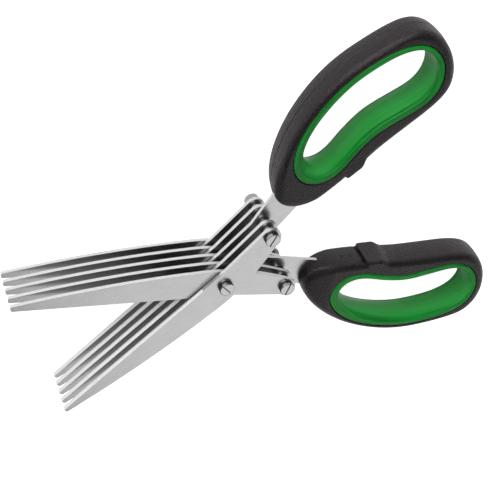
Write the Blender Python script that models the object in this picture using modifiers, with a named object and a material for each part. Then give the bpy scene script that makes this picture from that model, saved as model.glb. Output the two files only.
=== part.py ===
"""Herb scissors: two halves of five steel blades each, crossing on one pivot screw.

The scissors lie flat. The pivot axis is Z, the origin is the middle of the flat back face of the
pivot's cap nut, the handles point to +X and the blades to -X. Lengths are metres, angles radians.

Each half is drawn on its own centre line: X runs from the pivot towards the handle, and Y runs to
the half's outer side, where its handle loop lies and where its blades have their cutting edge.
The back half is the same set of parts turned over about X.
"""
import math

import bmesh
import bpy
from mathutils import Matrix, Vector
from mathutils.geometry import interpolate_bezier

# Whole object
REST_OPENING = math.radians(43.5)
FIT_GAP = 0.00025
CUT_OVERRUN = 0.002

# Blades
BLADE_COUNT = 5
BLADE_THICKNESS = 0.0015
BLADE_PITCH = 0.00462
SHEAR_GAP = 0.00025
BLADE_REACH = 0.080
TIP_CUT_SIDE = 0.0014
TIP_SPINE_SIDE = 0.0009
TIP_CORNER = 0.0005
HEEL_REACH = 0.005
HEEL_CUT_SIDE = 0.0064
SPINE_DEPTH = 0.0065
SPINE_DEEPEST_REACH = 0.008
GRIND_WIDTH = 0.0005
GRIND_DEPTH = 0.0010
GRIND_STOP_REACH = 0.007

# Tang ends, round the cross bolts
BOLT_BACK = 0.0257
BOLT_SIDE = 0.0054
TANG_END_RADIUS = 0.00385
TANG_SPINE_ANGLE = math.radians(-67)

# Tang of the middle blade, which runs into the handle
TANG_FLARE_LEAD = 0.0037
TANG_FLARE_RISE = 0.0030
TANG_SHOULDER_INSERT = 0.0043
TANG_SHOULDER_SIDE = 0.0145
TANG_INSERT = 0.0093
TANG_END_CORNER = 0.0015
TANG_INNER_END_SIDE = 0.0022
TANG_INNER_BEND_BACK = 0.012
TANG_INNER_BEND_SIDE = -0.0041
LOCK_HOLE_RADIUS = 0.0017
LOCK_HOLE_INSERT = 0.0050
LOCK_HOLE_MARGIN = 0.0036

# Pivot and cross bolts
PIVOT_RADIUS = 0.0020
BOLT_RADIUS = 0.0014
HEAD_RADIUS = 0.0029
HEAD_HEIGHT = 0.0017
HEAD_CHAMFER = 0.0002
SLOT_WIDTH = 0.0006
SLOT_DEPTH = 0.0007
PIVOT_SLOT_ANGLE = math.radians(91)
FRONT_SLOT_ANGLE = math.radians(24)
BACK_SLOT_ANGLE = math.radians(74)
NUT_HEIGHT = 0.0015
NUT_FLOOR = 0.0006
SPACER_RADIUS = 0.0026
WASHER_RADIUS = 0.0036

# Handle shell, which starts clear of the tang ends
NOSE_CLEARANCE = 0.00565
HANDLE_LENGTH = 0.0834
HANDLE_SIDE = 0.0006
HANDLE_DEPTH = 0.0398
HANDLE_THICKNESS = 0.0134
HANDLE_EDGE_RADIUS = 0.0025
NOSE_TAPER_LENGTH = 0.0120
NOSE_TAPER_DROP = 0.0026

# Stop pad on the inner side of each handle
PAD_SETBACK = 0.0244
PAD_LENGTH = 0.0068
PAD_PROUD = 0.0005
PAD_SINK = 0.0040
PAD_FRONT_CHAMFER = 0.0006
PAD_BACK_CHAMFER = 0.0090
PAD_EDGE_RADIUS = 0.0006
PAD_FACE_INSET = 0.0002
PAD_GROOVE_WIDTH = 0.0009
PAD_GROOVE_DEPTH = 0.0006

# Finger hole, by the shell's walls round it, and its soft liner
NOSE_WALL = 0.0119
FAR_WALL = 0.0047
INNER_WALL = 0.0055
OUTER_WALL = 0.0030
LINER_WALL = 0.0036
LINER_SHIFT = 0.0020
LINER_CROWN = 0.0004
LINER_EDGE_RADIUS = 0.0012
LINER_PROUD = 0.0002

# Facets
ROUND_STEPS = 24
HOLE_STEPS = 20
SPINE_STEPS = 16
TANG_STEPS = 10
END_STEPS = 14
CORNER_STEPS = 3
OUTLINE_RESOLUTION = 3
EDGE_RESOLUTION = 2
MERGE_DISTANCE = 0.000001
SHARP_ANGLE = math.radians(35)

# Shares of the spine's two curves: where their guide points lie along and across
SPINE_GUIDE_ALONG_SHARES = (0.37, 0.69)
SPINE_GUIDE_DEPTH_SHARE = 0.57
TANG_GUIDE_SHARES = (0.25, 0.40)

# Handle outline, as shares of its length and depth, from the nose along the inner side and back
HANDLE_OUTLINE_SHARES = (
    (0.000, 0.225), (0.025, 0.100), (0.095, 0.020), (0.180, 0.000), (0.275, 0.000),
    (0.375, 0.010), (0.465, 0.030), (0.585, 0.035), (0.715, 0.030), (0.820, 0.040),
    (0.905, 0.100), (0.968, 0.255), (1.000, 0.470), (0.996, 0.665), (0.950, 0.835),
    (0.860, 0.925), (0.730, 0.978), (0.610, 1.000), (0.480, 0.975), (0.360, 0.905),
    (0.240, 0.790), (0.135, 0.640), (0.057, 0.485), (0.014, 0.335),
)

# Finger hole outline, as shares of its length and depth, from its front end in the same order
HOLE_OUTLINE_SHARES = (
    (0.000, 0.330), (0.030, 0.130), (0.095, 0.025), (0.195, 0.000), (0.300, 0.050),
    (0.390, 0.090), (0.480, 0.105), (0.585, 0.075), (0.690, 0.030), (0.795, 0.010),
    (0.887, 0.070), (0.962, 0.220), (1.000, 0.465), (0.970, 0.705), (0.872, 0.875),
    (0.720, 0.968), (0.555, 1.000), (0.375, 0.950), (0.195, 0.815), (0.060, 0.600),
)

# Places along the handle and across it
HANDLE_START = BOLT_BACK + TANG_END_RADIUS + NOSE_CLEARANCE
PAD_START = HANDLE_START + PAD_SETBACK
HOLE_START = HANDLE_START + NOSE_WALL
HOLE_LENGTH = HANDLE_LENGTH - NOSE_WALL - FAR_WALL
HOLE_SIDE = HANDLE_SIDE + INNER_WALL
HOLE_DEPTH = HANDLE_DEPTH - INNER_WALL - OUTER_WALL

# Places on the middle blade's tang
TANG_FLARE = (BOLT_BACK - TANG_FLARE_LEAD, BOLT_SIDE + TANG_FLARE_RISE)
TANG_SHOULDER_BACK = HANDLE_START + TANG_SHOULDER_INSERT
TANG_END_BACK = HANDLE_START + TANG_INSERT
LOCK_HOLE_BACK = HANDLE_START + LOCK_HOLE_INSERT
LOCK_HOLE_SIDES = (TANG_INNER_END_SIDE + LOCK_HOLE_MARGIN, TANG_SHOULDER_SIDE - LOCK_HOLE_MARGIN)

# Levels above the surface that the scissors lie on
HALF_OFFSET = (BLADE_THICKNESS + SHEAR_GAP) / 2
HALF_STACK = (BLADE_COUNT - 1) * BLADE_PITCH + BLADE_THICKNESS
STACK_BOTTOM = NUT_HEIGHT + FIT_GAP
STACK_TOP = STACK_BOTTOM + HALF_STACK + 2 * HALF_OFFSET
MIDDLE_LEVEL = (STACK_BOTTOM + STACK_TOP) / 2
NUT_THREAD = NUT_HEIGHT - NUT_FLOOR - FIT_GAP


# Scene and collections

def clear_scene():
    for thing in list(bpy.data.objects):
        bpy.data.objects.remove(thing, do_unlink=True)


def new_collection(name):
    group = bpy.data.collections.new(name)
    bpy.context.scene.collection.children.link(group)
    return group


# Materials

def principled(name, colour, roughness, metallic):
    material = bpy.data.materials.new(name)
    material.use_nodes = True
    shader = material.node_tree.nodes["Principled BSDF"]
    shader.inputs["Base Color"].default_value = (*colour, 1.0)
    shader.inputs["Roughness"].default_value = roughness
    shader.inputs["Metallic"].default_value = metallic
    return material


FINISHES = {
    "blade_steel": ((0.62, 0.62, 0.63), 0.30, 1.0),
    "bright_steel": ((0.75, 0.75, 0.76), 0.15, 1.0),
    "moulded_shell": ((0.022, 0.020, 0.021), 0.50, 0.0),
    "soft_liner": ((0.018, 0.220, 0.030), 0.45, 0.0),
}


# Meshes from curves and modifiers

def baked_mesh(thing, name):
    """The evaluated mesh of an object, with its loose caps welded. The object is removed."""
    graph = bpy.context.evaluated_depsgraph_get()
    mesh = bpy.data.meshes.new_from_object(thing.evaluated_get(graph))
    mesh.name = name
    welded = bmesh.new()
    welded.from_mesh(mesh)
    bmesh.ops.remove_doubles(welded, verts=welded.verts, dist=MERGE_DISTANCE)
    welded.to_mesh(mesh)
    welded.free()
    bpy.data.objects.remove(thing, do_unlink=True)
    return mesh


def flat_curve(name, loops, half_thickness, edge_radius=0, offset=0):
    """A filled 2D curve of straight-sided loops, extruded both ways from its plane."""
    curve = bpy.data.curves.new(name, "CURVE")
    curve.dimensions = "2D"
    curve.fill_mode = "BOTH"
    for loop in loops:
        spline = curve.splines.new("POLY")
        spline.points.add(len(loop) - 1)
        for point, (x, y) in zip(spline.points, loop):
            point.co = (x, y, 0, 1)
        spline.use_cyclic_u = True
    curve.extrude = half_thickness - edge_radius
    curve.bevel_depth = edge_radius
    curve.bevel_resolution = EDGE_RESOLUTION
    curve.offset = offset - edge_radius
    thing = bpy.data.objects.new(name, curve)
    bpy.context.scene.collection.objects.link(thing)
    return thing


def flat_plate(name, loops, half_thickness, edge_radius=0, offset=0):
    return baked_mesh(flat_curve(name, loops, half_thickness, edge_radius, offset), name)


def working_object(name, mesh):
    thing = bpy.data.objects.new(name, mesh)
    CUTTERS.objects.link(thing)
    thing.hide_render = True
    thing.display_type = "WIRE"
    return thing


def add_boolean(target, tool, operation):
    modifier = target.modifiers.new(tool.name, "BOOLEAN")
    modifier.object = tool
    modifier.operation = operation
    modifier.solver = "EXACT"


def box_mesh(name, low, high):
    solid = bmesh.new()
    bmesh.ops.create_cube(solid, size=1)
    low, high = Vector(low), Vector(high)
    for vertex in solid.verts:
        share = vertex.co + Vector((0.5, 0.5, 0.5))
        vertex.co = Vector(a + (b - a) * s for a, b, s in zip(low, high, share))
    mesh = bpy.data.meshes.new(name)
    solid.to_mesh(mesh)
    solid.free()
    return mesh


# Points of outlines

def circle_points(centre, radius, steps):
    turn = 2 * math.pi / steps
    return [(centre[0] + radius * math.cos(i * turn), centre[1] + radius * math.sin(i * turn))
            for i in range(steps)]


def arc_points(centre, radius, start, end, steps):
    angles = [start + (end - start) * i / steps for i in range(steps + 1)]
    return [(centre[0] + radius * math.cos(a), centre[1] + radius * math.sin(a)) for a in angles]


def curve_points(start, guide, far_guide, end, steps):
    """Points of a Bezier curve after its first one."""
    corners = [Vector((*corner, 0)) for corner in (start, guide, far_guide, end)]
    return [(p.x, p.y) for p in interpolate_bezier(*corners, steps + 1)[1:]]


def smooth_loop(shares, start, length, side, depth):
    """A closed outline through the given shares, rounded by Bezier handles that Blender sets."""
    curve = bpy.data.curves.new("smooth_loop", "CURVE")
    curve.dimensions = "2D"
    curve.fill_mode = "NONE"
    spline = curve.splines.new("BEZIER")
    spline.bezier_points.add(len(shares) - 1)
    spline.use_cyclic_u = True
    spline.resolution_u = OUTLINE_RESOLUTION
    for point, (along, across) in zip(spline.bezier_points, shares):
        point.co = (start + length * along, side + depth * across, 0)
        point.handle_left_type = "AUTO"
        point.handle_right_type = "AUTO"
    thing = bpy.data.objects.new("smooth_loop", curve)
    bpy.context.scene.collection.objects.link(thing)
    bpy.context.view_layer.update()
    mesh = baked_mesh(thing, "smooth_loop")
    return ordered_loop(mesh)


def ordered_loop(mesh):
    """The vertices of a mesh that is one closed ring of edges, in order round the ring."""
    beside = {vertex.index: [] for vertex in mesh.vertices}
    for edge in mesh.edges:
        first, second = edge.vertices
        beside[first].append(second)
        beside[second].append(first)
    order = [0, beside[0][0]]
    while len(order) < len(mesh.vertices):
        onward = [index for index in beside[order[-1]] if index != order[-2]]
        order.append(onward[0])
    return [tuple(mesh.vertices[index].co[:2]) for index in order]


def tangent_angle(point, centre, radius):
    """Where a line from the point touches the circle on its +Y side, as an angle at the centre."""
    to_point = Vector(point) - Vector(centre)
    return math.atan2(to_point.y, to_point.x) - math.acos(radius / to_point.length)


# Blades

def spine_points():
    """The convex spine, from its deepest point near the pivot to the blunt tip."""
    deepest = (-SPINE_DEEPEST_REACH, -SPINE_DEPTH)
    tip = (-BLADE_REACH + TIP_CORNER, -TIP_SPINE_SIDE)
    run = tip[0] - deepest[0]
    near_share, far_share = SPINE_GUIDE_ALONG_SHARES
    far_depth = TIP_SPINE_SIDE + (SPINE_DEPTH - TIP_SPINE_SIDE) * SPINE_GUIDE_DEPTH_SHARE
    guide = (deepest[0] + run * near_share, deepest[1])
    far_guide = (deepest[0] + run * far_share, -far_depth)
    return curve_points(deepest, guide, far_guide, tip, SPINE_STEPS)


def tip_and_edge_points():
    """The blunt tip with its corners taken off, then the straight cutting edge to the heel."""
    return [
        (-BLADE_REACH, -TIP_SPINE_SIDE + TIP_CORNER),
        (-BLADE_REACH, TIP_CUT_SIDE - TIP_CORNER),
        (-BLADE_REACH + TIP_CORNER, TIP_CUT_SIDE),
        (HEEL_REACH, HEEL_CUT_SIDE),
    ]


def down_to_spine(start, direction):
    """The curve from the tang's inner edge down to the deepest point of the spine."""
    deepest = (-SPINE_DEEPEST_REACH, -SPINE_DEPTH)
    run = start[0] - deepest[0]
    near_share, far_share = TANG_GUIDE_SHARES
    guide = (start[0] - run * near_share, start[1] - run * near_share * direction)
    far_guide = (deepest[0] + run * far_share, deepest[1])
    return curve_points(start, guide, far_guide, deepest, TANG_STEPS)


def plain_outline():
    """A blade whose tang ends in a round eye for the cross bolt."""
    eye = (BOLT_BACK, BOLT_SIDE)
    start = tangent_angle((HEEL_REACH, HEEL_CUT_SIDE), eye, TANG_END_RADIUS)
    end_arc = arc_points(eye, TANG_END_RADIUS, start, TANG_SPINE_ANGLE, END_STEPS)
    slope = -1 / math.tan(TANG_SPINE_ANGLE)
    return end_arc + down_to_spine(end_arc[-1], slope) + spine_points() + tip_and_edge_points()


def tang_outline():
    """The middle blade, whose wide straight tang goes on into the handle."""
    corner = TANG_END_CORNER
    inner_end = (TANG_END_BACK - corner, TANG_INNER_END_SIDE)
    bend = (TANG_INNER_BEND_BACK, TANG_INNER_BEND_SIDE)
    slope = (inner_end[1] - bend[1]) / (inner_end[0] - bend[0])
    tang = [
        TANG_FLARE,
        (TANG_SHOULDER_BACK, TANG_SHOULDER_SIDE),
        (TANG_END_BACK - corner, TANG_SHOULDER_SIDE),
    ]
    outer_centre = (TANG_END_BACK - corner, TANG_SHOULDER_SIDE - corner)
    inner_centre = (TANG_END_BACK - corner, TANG_INNER_END_SIDE + corner)
    tang += arc_points(outer_centre, corner, math.pi / 2, 0, CORNER_STEPS)[1:]
    tang += arc_points(inner_centre, corner, 0, -math.pi / 2, CORNER_STEPS)
    return tang + [bend] + down_to_spine(bend, slope) + spine_points() + tip_and_edge_points()


def blade_loops(with_tang):
    """A blade's outline, its pivot hole and its bolt hole, and a tang's two locking holes."""
    outline = tang_outline() if with_tang else plain_outline()
    loops = [outline, circle_points((0, 0), PIVOT_RADIUS + FIT_GAP, ROUND_STEPS)]
    loops.append(circle_points((BOLT_BACK, BOLT_SIDE), BOLT_RADIUS + FIT_GAP, HOLE_STEPS))
    if with_tang:
        for side in LOCK_HOLE_SIDES:
            centre = (LOCK_HOLE_BACK, side)
            loops.append(circle_points(centre, LOCK_HOLE_RADIUS, HOLE_STEPS))
    return loops


def grind_tool():
    """A bar whose lower face takes the grind off the outer face along the cutting edge."""
    run = HEEL_REACH + BLADE_REACH
    rise = HEEL_CUT_SIDE - TIP_CUT_SIDE
    across = CUT_OVERRUN * GRIND_WIDTH / GRIND_DEPTH
    profile = [
        (-across, -CUT_OVERRUN),
        (GRIND_WIDTH + across, GRIND_DEPTH + CUT_OVERRUN),
        (-across - CUT_OVERRUN, GRIND_DEPTH + CUT_OVERRUN),
    ]
    back = -GRIND_STOP_REACH
    front = -BLADE_REACH - CUT_OVERRUN
    bar = bmesh.new()
    corners = []
    for reach in (front, back):
        edge = TIP_CUT_SIDE + (reach + BLADE_REACH) * rise / run
        for inward, up in profile:
            level = BLADE_THICKNESS / 2 - GRIND_DEPTH + up
            corners.append(bar.verts.new((reach, edge - inward, level)))
    bmesh.ops.convex_hull(bar, input=corners)
    bmesh.ops.recalc_face_normals(bar, faces=bar.faces)
    mesh = bpy.data.meshes.new("grind_tool")
    bar.to_mesh(mesh)
    bar.free()
    return working_object("grind_tool", mesh)


def blade_mesh(name, with_tang):
    plate = working_object(name, flat_plate(name, blade_loops(with_tang), BLADE_THICKNESS / 2))
    add_boolean(plate, GRIND_TOOL, "DIFFERENCE")
    return baked_mesh(plate, name)


# Turned pieces

def turned_mesh(name, profile, closed, steps):
    """A profile of (radius, level) points turned about Z. It runs down its outer side."""
    mesh = bpy.data.meshes.new(name)
    points = [(radius, 0, level) for radius, level in profile]
    count = len(points)
    edges = [(i, (i + 1) % count) for i in range(count if closed else count - 1)]
    mesh.from_pydata(points, edges, [])
    thing = working_object(name, mesh)
    screw = thing.modifiers.new("turn", "SCREW")
    screw.axis = "Z"
    screw.steps = steps
    screw.render_steps = steps
    screw.use_merge_vertices = True
    screw.merge_threshold = MERGE_DISTANCE
    return baked_mesh(thing, name)


def tube_mesh(name, inner, outer, length):
    profile = [(outer, length / 2), (outer, -length / 2), (inner, -length / 2), (inner, length / 2)]
    return turned_mesh(name, profile, True, ROUND_STEPS)


def screw_mesh(name, shaft_radius, shaft_length):
    """A cheese-head screw whose head rests on level 0, with a slot across the head."""
    profile = [
        (0, HEAD_HEIGHT),
        (HEAD_RADIUS - HEAD_CHAMFER, HEAD_HEIGHT),
        (HEAD_RADIUS, HEAD_HEIGHT - HEAD_CHAMFER),
        (HEAD_RADIUS, 0),
        (shaft_radius, 0),
        (shaft_radius, -shaft_length),
        (0, -shaft_length),
    ]
    body = working_object(name, turned_mesh(name, profile, False, ROUND_STEPS))
    reach = HEAD_RADIUS + CUT_OVERRUN
    low = (-reach, -SLOT_WIDTH / 2, HEAD_HEIGHT - SLOT_DEPTH)
    high = (reach, SLOT_WIDTH / 2, HEAD_HEIGHT + CUT_OVERRUN)
    slot = working_object(name + "_slot", box_mesh(name + "_slot", low, high))
    add_boolean(body, slot, "DIFFERENCE")
    return baked_mesh(body, name)


def nut_mesh(name, bore_radius, height):
    """A round cap nut with a blind bore, its closed flat face on level 0."""
    bore_floor = height - NUT_HEIGHT + NUT_FLOOR
    profile = [
        (0, bore_floor),
        (bore_radius, bore_floor),
        (bore_radius, height),
        (HEAD_RADIUS, height),
        (HEAD_RADIUS, HEAD_CHAMFER),
        (HEAD_RADIUS - HEAD_CHAMFER, 0),
        (0, 0),
    ]
    return turned_mesh(name, profile, False, ROUND_STEPS)


# Handle

def hole_loop():
    return smooth_loop(HOLE_OUTLINE_SHARES, HOLE_START, HOLE_LENGTH, HOLE_SIDE, HOLE_DEPTH)


def handle_loop():
    return smooth_loop(HANDLE_OUTLINE_SHARES, HANDLE_START, HANDLE_LENGTH, HANDLE_SIDE,
                       HANDLE_DEPTH)


def pad_loop():
    """The stop pad seen from the front: a flat top, steep at its front and sloped behind."""
    top = HANDLE_SIDE - PAD_PROUD
    root = HANDLE_SIDE + PAD_SINK
    end = PAD_START + PAD_LENGTH
    return [
        (PAD_START, root),
        (PAD_START, top + PAD_FRONT_CHAMFER),
        (PAD_START + PAD_FRONT_CHAMFER, top),
        (end, top),
        (end + PAD_BACK_CHAMFER, root),
    ]


def pad_groove():
    """A shallow groove across the bar that sets the pad's steep front off from the nose."""
    reach = HANDLE_THICKNESS / 2 + CUT_OVERRUN
    low = (PAD_START - PAD_GROOVE_WIDTH / 2, HANDLE_SIDE - PAD_PROUD - CUT_OVERRUN, -reach)
    high = (PAD_START + PAD_GROOVE_WIDTH / 2, HANDLE_SIDE + PAD_GROOVE_DEPTH, reach)
    return working_object("pad_groove", box_mesh("pad_groove", low, high))


def nose_wedge(name, side):
    """A wedge that thins the nose towards the tang on one face."""
    half = HANDLE_THICKNESS / 2
    start = HANDLE_START - CUT_OVERRUN
    slope = NOSE_TAPER_DROP / NOSE_TAPER_LENGTH
    corners = [
        (start, half - NOSE_TAPER_DROP - CUT_OVERRUN * slope),
        (HANDLE_START + NOSE_TAPER_LENGTH, half),
        (HANDLE_START + NOSE_TAPER_LENGTH, half + CUT_OVERRUN),
        (start, half + CUT_OVERRUN),
    ]
    wedge = bmesh.new()
    reach = HANDLE_SIDE + HANDLE_DEPTH + CUT_OVERRUN
    for across in (-reach, reach):
        for along, up in corners:
            wedge.verts.new((along, across, side * up))
    bmesh.ops.convex_hull(wedge, input=wedge.verts)
    bmesh.ops.recalc_face_normals(wedge, faces=wedge.faces)
    mesh = bpy.data.meshes.new(name)
    wedge.to_mesh(mesh)
    wedge.free()
    return working_object(name, mesh)


def shell_mesh(hole):
    """The moulded loop with its stop pad, groove, finger hole, tapered nose and tang slot.

    Two plastic pegs stay standing in the slot, through the tang's locking holes.
    """
    half = HANDLE_THICKNESS / 2
    body = flat_plate("handle_shell", [handle_loop()], half, HANDLE_EDGE_RADIUS)
    shell = working_object("handle_shell", body)
    pad = flat_plate("stop_pad", [pad_loop()], half - PAD_FACE_INSET, PAD_EDGE_RADIUS)
    add_boolean(shell, working_object("stop_pad", pad), "UNION")
    add_boolean(shell, pad_groove(), "DIFFERENCE")
    opening = flat_plate("finger_hole", [hole], half + CUT_OVERRUN)
    add_boolean(shell, working_object("finger_hole", opening), "DIFFERENCE")
    add_boolean(shell, nose_wedge("nose_wedge_front", 1), "DIFFERENCE")
    add_boolean(shell, nose_wedge("nose_wedge_back", -1), "DIFFERENCE")
    slot = flat_plate("tang_slot", blade_loops(True), BLADE_THICKNESS / 2 + FIT_GAP,
                      offset=FIT_GAP)
    slot_tool = working_object("tang_slot", slot)
    slot_tool.location.z = HALF_OFFSET
    bpy.context.view_layer.update()
    add_boolean(shell, slot_tool, "DIFFERENCE")
    return baked_mesh(shell, "handle_shell")


def liner_profile():
    """Section of the liner ring, crowned towards the finger. It starts inside the shell's wall."""
    half = HANDLE_THICKNESS / 2 + LINER_PROUD
    edge = LINER_EDGE_RADIUS
    outer = -LINER_SHIFT - CUT_OVERRUN
    inner = LINER_WALL
    corner = arc_points((inner - edge, half - edge), edge, 0, math.pi / 2, CORNER_STEPS)
    front = [(inner + LINER_CROWN, 0)] + corner + [(outer, half)]
    back = [(inward, -up) for inward, up in reversed(front[1:])]
    return list(reversed(front + back))


def liner_mesh(hole):
    """The liner's section swept round the finger hole, then cut to fit the hole.

    The sweep sits a little towards the far end, so the liner is thickest at the nose.
    """
    section = bpy.data.curves.new("liner_section", "CURVE")
    section.dimensions = "2D"
    section.fill_mode = "NONE"
    profile = liner_profile()
    ring = section.splines.new("POLY")
    ring.points.add(len(profile) - 1)
    for point, (inward, up) in zip(ring.points, profile):
        point.co = (inward, up, 0, 1)
    ring.use_cyclic_u = True
    section_object = bpy.data.objects.new("liner_section", section)
    CUTTERS.objects.link(section_object)
    section_object.hide_render = True
    sweep = flat_curve("handle_liner", [hole], 0)
    sweep.data.fill_mode = "NONE"
    sweep.data.bevel_mode = "OBJECT"
    sweep.data.bevel_object = section_object
    bpy.context.view_layer.update()
    liner = working_object("handle_liner", baked_mesh(sweep, "handle_liner"))
    liner.location.x = LINER_SHIFT
    plug = flat_plate("hole_plug", [hole], HANDLE_THICKNESS, offset=-FIT_GAP)
    add_boolean(liner, working_object("hole_plug", plug), "INTERSECT")
    bpy.context.view_layer.update()
    fitted = baked_mesh(liner, "handle_liner")
    fitted.transform(Matrix.Translation((LINER_SHIFT, 0, 0)))
    return fitted


# Placing

def half_empty(name, angle):
    """The empty on the pivot axis that carries one half."""
    empty = bpy.data.objects.new(name, None)
    PARTS.objects.link(empty)
    empty.rotation_euler.z = angle
    return empty


def place(name, mesh, finish, half, location=(0, 0, 0), turned_over=False, turn=0):
    thing = bpy.data.objects.new(name, mesh.copy())
    PARTS.objects.link(thing)
    thing.parent = half
    thing.location = location
    thing.rotation_euler = (math.pi if turned_over else 0, 0, turn)
    colour, roughness, metallic = FINISHES[finish]
    thing.data.materials.clear()
    thing.data.materials.append(principled(name, colour, roughness, metallic))
    thing.data.shade_smooth()
    thing.data.set_sharp_from_angle(angle=SHARP_ANGLE)
    return thing


def blade_level(number, side):
    """Middle of a blade, counted from 1 at the front of the stack."""
    return MIDDLE_LEVEL + side * HALF_OFFSET + ((BLADE_COUNT + 1) / 2 - number) * BLADE_PITCH


def build_half(name, half, side):
    """One half: five blades, its cross bolt with spacers and nut, its handle and its liner."""
    over = side < 0
    middle = (BLADE_COUNT + 1) // 2
    for number in range(1, BLADE_COUNT + 1):
        mesh = MESHES["tang_blade" if number == middle else "plain_blade"]
        level = blade_level(number, side)
        place(f"{name}_blade_{number}", mesh, "blade_steel", half, (0, 0, level), over)
    eye = (BOLT_BACK, side * BOLT_SIDE)
    for number in range(1, BLADE_COUNT):
        level = (blade_level(number, side) + blade_level(number + 1, side)) / 2
        place(f"{name}_spacer_{number}", MESHES["spacer"], "bright_steel", half, (*eye, level))
    seat = blade_level(1, side) + BLADE_THICKNESS / 2 + FIT_GAP
    turn = FRONT_SLOT_ANGLE if side > 0 else BACK_SLOT_ANGLE
    place(f"{name}_cross_bolt", MESHES["cross_bolt"], "bright_steel", half, (*eye, seat), turn=turn)
    place(f"{name}_bolt_nut", MESHES[f"{name}_nut"], "bright_steel", half, (*eye, 0))
    middle_place = (0, 0, MIDDLE_LEVEL)
    place(f"{name}_handle_shell", MESHES["shell"], "moulded_shell", half, middle_place, over)
    place(f"{name}_handle_liner", MESHES["liner"], "soft_liner", half, middle_place, over)


def build_pivot(half):
    """The pivot screw, its cap nut and the washers that keep the blade pairs apart."""
    seat = STACK_TOP + FIT_GAP
    place("pivot_screw", MESHES["pivot_screw"], "bright_steel", half, (0, 0, seat),
          turn=PIVOT_SLOT_ANGLE)
    place("pivot_nut", MESHES["pivot_nut"], "bright_steel", half)
    for number in range(1, BLADE_COUNT):
        level = (blade_level(number, -1) + blade_level(number + 1, 1)) / 2
        place(f"pivot_washer_{number}", MESHES["washer"], "bright_steel", half, (0, 0, level))


clear_scene()
PARTS = new_collection("herb_scissors")
CUTTERS = new_collection("cutters")
GRIND_TOOL = grind_tool()
HOLE_LOOP = hole_loop()

BETWEEN_BLADES = BLADE_PITCH - BLADE_THICKNESS
BETWEEN_PAIRS = BLADE_PITCH - 2 * BLADE_THICKNESS - SHEAR_GAP
FRONT_NUT_HEIGHT = NUT_HEIGHT + 2 * HALF_OFFSET
MESHES = {
    "plain_blade": blade_mesh("plain_blade", False),
    "tang_blade": blade_mesh("tang_blade", True),
    "spacer": tube_mesh("spacer", BOLT_RADIUS + FIT_GAP, SPACER_RADIUS,
                        BETWEEN_BLADES - 2 * FIT_GAP),
    "washer": tube_mesh("washer", PIVOT_RADIUS + FIT_GAP, WASHER_RADIUS,
                        BETWEEN_PAIRS - 2 * FIT_GAP),
    "cross_bolt": screw_mesh("cross_bolt", BOLT_RADIUS, HALF_STACK + 2 * FIT_GAP + NUT_THREAD),
    "pivot_screw": screw_mesh("pivot_screw", PIVOT_RADIUS,
                              STACK_TOP - STACK_BOTTOM + 2 * FIT_GAP + NUT_THREAD),
    "front_nut": nut_mesh("front_nut", BOLT_RADIUS + FIT_GAP, FRONT_NUT_HEIGHT),
    "back_nut": nut_mesh("back_nut", BOLT_RADIUS + FIT_GAP, NUT_HEIGHT),
    "pivot_nut": nut_mesh("pivot_nut", PIVOT_RADIUS + FIT_GAP, NUT_HEIGHT),
    "shell": shell_mesh(HOLE_LOOP),
    "liner": liner_mesh(HOLE_LOOP),
}
FRONT_HALF = half_empty("front_half", REST_OPENING / 2)
BACK_HALF = half_empty("back_half", -REST_OPENING / 2)
build_half("front", FRONT_HALF, 1)
build_half("back", BACK_HALF, -1)
build_pivot(FRONT_HALF)
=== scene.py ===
"""Herb scissors as photographed: opened and lying flat on a white table.

The main light is soft and comes from the front half's side. Lengths are metres. Each half is drawn on its
own centre line, as in the part: X runs from the pivot towards the handle, Y to the half's outer side and Z up
from the middle of the handle's thickness.
"""
import math

import bmesh
import bpy
import numpy as np
from mathutils import Matrix, Vector


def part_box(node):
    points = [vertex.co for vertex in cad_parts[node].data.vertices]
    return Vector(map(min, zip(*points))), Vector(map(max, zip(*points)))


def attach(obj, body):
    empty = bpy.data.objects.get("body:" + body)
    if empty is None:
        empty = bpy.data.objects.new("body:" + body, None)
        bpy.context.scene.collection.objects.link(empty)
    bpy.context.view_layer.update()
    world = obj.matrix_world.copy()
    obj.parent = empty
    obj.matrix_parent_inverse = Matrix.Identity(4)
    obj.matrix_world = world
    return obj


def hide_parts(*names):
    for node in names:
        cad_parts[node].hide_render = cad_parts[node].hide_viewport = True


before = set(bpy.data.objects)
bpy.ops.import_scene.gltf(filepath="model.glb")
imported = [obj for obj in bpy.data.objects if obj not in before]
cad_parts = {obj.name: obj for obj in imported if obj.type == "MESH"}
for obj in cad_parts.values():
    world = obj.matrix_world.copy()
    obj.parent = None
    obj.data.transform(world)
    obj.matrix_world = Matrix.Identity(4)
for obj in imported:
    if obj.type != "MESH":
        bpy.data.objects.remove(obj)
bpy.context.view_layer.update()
MM = 0.001

# Places and sizes of the part
HALF_TURN = math.radians(21.75)
HANDLE_MIDDLE = sum(corner.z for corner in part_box("front_handle_shell")) / 2
HALF_THICKNESS = 6.7 * MM
HANDLE_START = 35.2 * MM
HANDLE_LENGTH = 82.8 * MM
HANDLE_SIDE = 0.6 * MM
HANDLE_DEPTH = 39.8 * MM
HOLE_START = 47.1 * MM
HOLE_LENGTH = 66.8 * MM
HOLE_SIDE = 6.1 * MM
HOLE_DEPTH = 31.3 * MM
PAD_START = 60.0 * MM
BLADE_NUMBERS = (1, 2, 3, 4, 5)

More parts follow.
